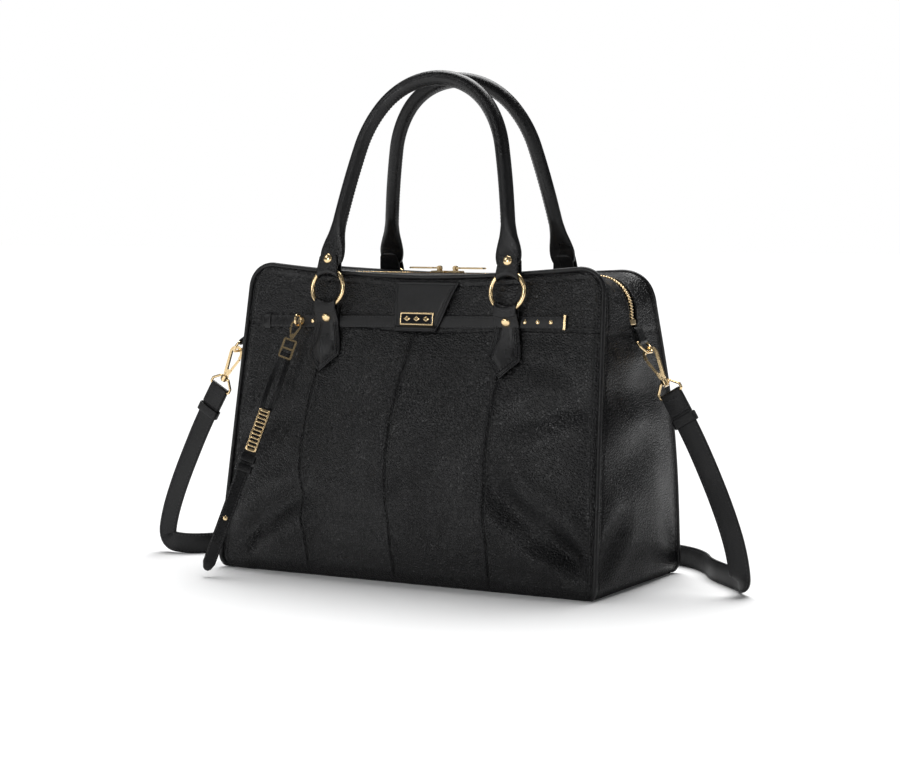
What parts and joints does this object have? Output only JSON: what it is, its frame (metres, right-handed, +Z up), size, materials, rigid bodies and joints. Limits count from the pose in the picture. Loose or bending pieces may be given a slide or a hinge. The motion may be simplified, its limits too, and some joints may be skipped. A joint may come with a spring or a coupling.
{
  "type": "diaper bag",
  "caption": "Structured leather diaper bag with a zip top, rolled handles on ring mounts, a clip-on shoulder strap and a hanging wrist charm.",
  "frame": {"origin": "on the floor under the middle of the bag's base", "axes": "+X to the bag's right seen from the front, -Y the front, +Z up"},
  "size_m": [0.6163, 0.2979, 0.4682],
  "materials": {
    "pebbled_leather": "pebbled black leather, soft satin",
    "smooth_leather": "smooth black leather, satin, stitched edges",
    "handle_leather": "smooth black leather, slightly glossy",
    "strap_leather": "smooth black leather, matt",
    "gold_metal": "polished pale gold",
    "lining_fabric": "woven black",
    "board": "matt",
    "cord_core": "twisted cord"
  },
  "bodies": {
    "bag": {"front_panel_far_left": "pebbled_leather", "front_panel_left": "pebbled_leather", "front_panel_right": "pebbled_leather", "front_panel_far_right": "pebbled_leather", "front_yoke": "pebbled_leather", "back_panel": "pebbled_leather", "back_yoke": "pebbled_leather", "gusset_left": "pebbled_leather", "gusset_right": "pebbled_leather", "top_gusset_front": "pebbled_leather", "top_gusset_rear": "pebbled_leather", "base_panel": "pebbled_leather", "piping": "smooth_leather", "belt_strap": "smooth_leather", "belt_keeper": "smooth_leather", "flap": "smooth_leather", "front_handle_tabs": "smooth_leather", "rear_handle_tabs": "smooth_leather", "side_tab_left": "smooth_leather", "side_tab_right": "smooth_leather", "zip_teeth": "gold_metal", "zip_end_stops": "gold_metal", "belt_tip": "gold_metal", "belt_studs": "gold_metal", "nameplate": "gold_metal", "tab_rivets": "gold_metal", "charm_ring": "gold_metal", "lining": "lining_fabric", "slip_pocket": "lining_fabric", "bottle_pockets": "lining_fabric", "zip_tapes": "lining_fabric", "base_board": "board"},
    "front_rings": {"front_rings": "gold_metal"},
    "front_handle": {"front_handle": "handle_leather", "front_handle_core": "cord_core", "front_handle_rivets": "gold_metal"},
    "rear_rings": {"rear_rings": "gold_metal"},
    "rear_handle": {"rear_handle": "handle_leather", "rear_handle_core": "cord_core", "rear_handle_rivets": "gold_metal"},
    "left_slider": {"zip_slider_left": "gold_metal"},
    "left_pull": {"zip_pull_left": "gold_metal"},
    "right_slider": {"zip_slider_right": "gold_metal"},
    "right_pull": {"zip_pull_right": "gold_metal"},
    "left_d_ring": {"d_ring_left": "gold_metal"},
    "right_d_ring": {"d_ring_right": "gold_metal"},
    "strap": {"shoulder_strap": "strap_leather", "swivel_loops": "gold_metal", "strap_keepers": "strap_leather"},
    "left_hook": {"snap_hook_left": "gold_metal"},
    "left_gate": {"hook_gate_left": "gold_metal"},
    "right_hook": {"snap_hook_right": "gold_metal"},
    "right_gate": {"hook_gate_right": "gold_metal"},
    "charm": {"charm_clasp": "gold_metal", "charm_buckle": "gold_metal", "charm_strap": "strap_leather", "charm_plate": "gold_metal", "charm_keeper": "strap_leather", "charm_rivet": "gold_metal"},
    "charm_gate": {"charm_gate": "gold_metal"}
  },
  "joints": [
    {"name": "front_ring_tilt", "type": "hinge", "parent": "bag", "child": "front_rings", "pos_m": [0, -0.06202, 0.25042], "axis": [1, 0, 0], "range_deg": [0, 40]},
    {"name": "front_handle_swing", "type": "hinge", "parent": "front_rings", "child": "front_handle", "pos_m": [0, -0.05701, 0.28385], "axis": [1, 0, 0], "range_deg": [-2, 110]},
    {"name": "rear_ring_tilt", "type": "hinge", "parent": "bag", "child": "rear_rings", "pos_m": [0, 0.06202, 0.25042], "axis": [-1, 0, 0], "range_deg": [0, 40]},
    {"name": "rear_handle_swing", "type": "hinge", "parent": "rear_rings", "child": "rear_handle", "pos_m": [0, 0.05701, 0.28385], "axis": [-1, 0, 0], "range_deg": [-2, 110]},
    {"name": "left_zip_slide", "type": "slide", "parent": "bag", "child": "left_slider", "axis": [-1, 0, 0], "range_m": [0, 0.12]},
    {"name": "left_pull_flip", "type": "hinge", "parent": "left_slider", "child": "left_pull", "pos_m": [-0.0085, 0, 0.2855], "axis": [0, 1, 0], "range_deg": [0, 150]},
    {"name": "right_zip_slide", "type": "slide", "parent": "bag", "child": "right_slider", "axis": [1, 0, 0], "range_m": [0, 0.12]},
    {"name": "right_pull_flip", "type": "hinge", "parent": "right_slider", "child": "right_pull", "pos_m": [0.0085, 0, 0.2855], "axis": [0, -1, 0], "range_deg": [0, 150]},
    {"name": "left_d_ring_tilt", "type": "hinge", "parent": "bag", "child": "left_d_ring", "pos_m": [-0.204, -0.04, 0.212], "axis": [0, -1, 0], "range_deg": [0, 7]},
    {"name": "right_d_ring_tilt", "type": "hinge", "parent": "bag", "child": "right_d_ring", "pos_m": [0.199, 0, 0.222], "axis": [0, 1, 0], "range_deg": [0, 7]},
    {"name": "strap_swing", "type": "hinge", "parent": "bag", "child": "strap", "pos_m": [0.20525, 0, 0.21597], "axis": [0.9951, 0.0958, 0.024], "range_deg": [0, 50]},
    {"name": "left_hook_swivel", "type": "hinge", "parent": "strap", "child": "left_hook", "pos_m": [-0.212, -0.04, 0.203], "axis": [-0.5075, 0, -0.8616], "range_deg": [-10, 10]},
    {"name": "left_gate_open", "type": "hinge", "parent": "left_hook", "child": "left_gate", "pos_m": [-0.21899, -0.04, 0.18483], "axis": [0, -1, 0], "range_deg": [0, 20], "stiffness_Nm_per_rad": 0.01, "springref_deg": -11.46},
    {"name": "right_hook_swivel", "type": "hinge", "parent": "strap", "child": "right_hook", "pos_m": [0.207, 0, 0.213], "axis": [0.5075, 0, -0.8616], "range_deg": [-10, 10]},
    {"name": "right_gate_open", "type": "hinge", "parent": "right_hook", "child": "right_gate", "pos_m": [0.21399, 0, 0.19483], "axis": [0, 1, 0], "range_deg": [0, 20], "stiffness_Nm_per_rad": 0.01, "springref_deg": -11.46},
    {"name": "charm_swing", "type": "hinge", "parent": "bag", "child": "charm", "pos_m": [-0.125, -0.06587, 0.23489], "axis": [-1, 0, 0], "range_deg": [0, 36]},
    {"name": "charm_gate_open", "type": "hinge", "parent": "charm", "child": "charm_gate", "pos_m": [-0.12951, -0.071, 0.22501], "axis": [-0.5771, 0.8022, -0.1531], "range_deg": [0, 18], "stiffness_Nm_per_rad": 0.005, "springref_deg": -11.46}
  ]
}
